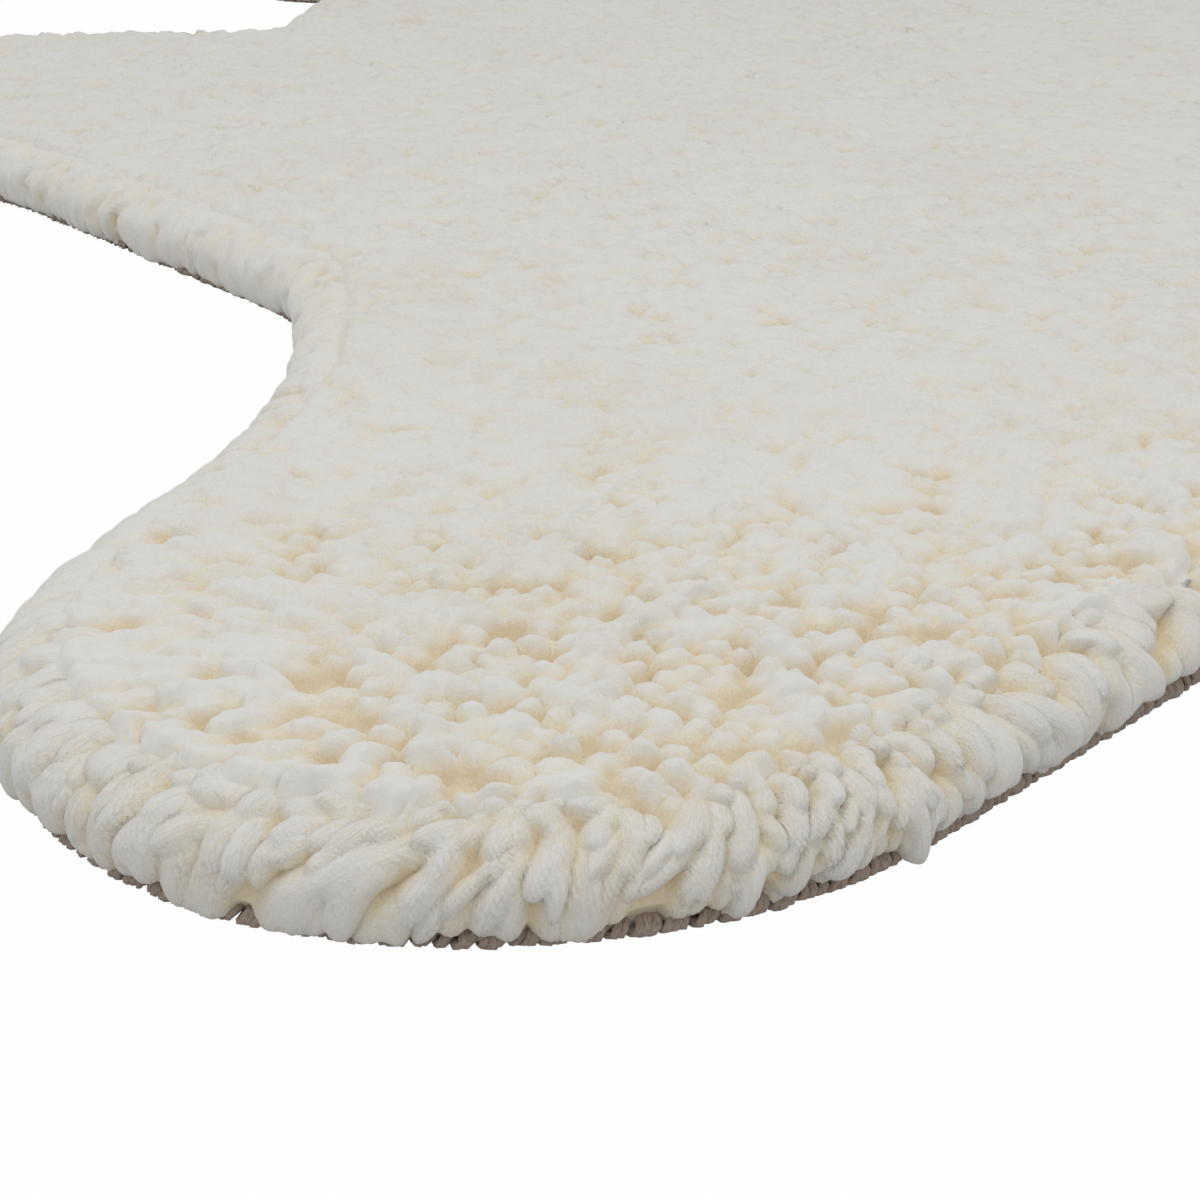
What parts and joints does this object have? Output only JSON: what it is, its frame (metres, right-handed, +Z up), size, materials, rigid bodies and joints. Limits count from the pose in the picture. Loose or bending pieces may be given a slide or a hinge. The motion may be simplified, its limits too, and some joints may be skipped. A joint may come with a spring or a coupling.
{
  "type": "bear-shaped rug",
  "caption": "Flat floor rug cut to a bearskin outline, with a thick cream wool shag pile, a rounded overhanging rim and a whipped taupe edge.",
  "frame": {"origin": "on the floor under the middle of the rug", "axes": "+Z up out of the floor, +Y along the spine towards the nose, +X towards the animal's right limbs"},
  "size_m": [1.3388, 1.774, 0.038],
  "materials": {
    "wool_pile": "soft cream wool yarn ends, matt with a faint fibre sheen, warmer between the tufts",
    "ground_cloth": "coarse plain weave, matt taupe",
    "edge_yarn": "fuzzy taupe wool yarn whipped side by side over the edge"
  },
  "bodies": {
    "root": {"backing": "ground_cloth", "edge_binding": "edge_yarn", "pile": "wool_pile"}
  },
  "joints": []
}
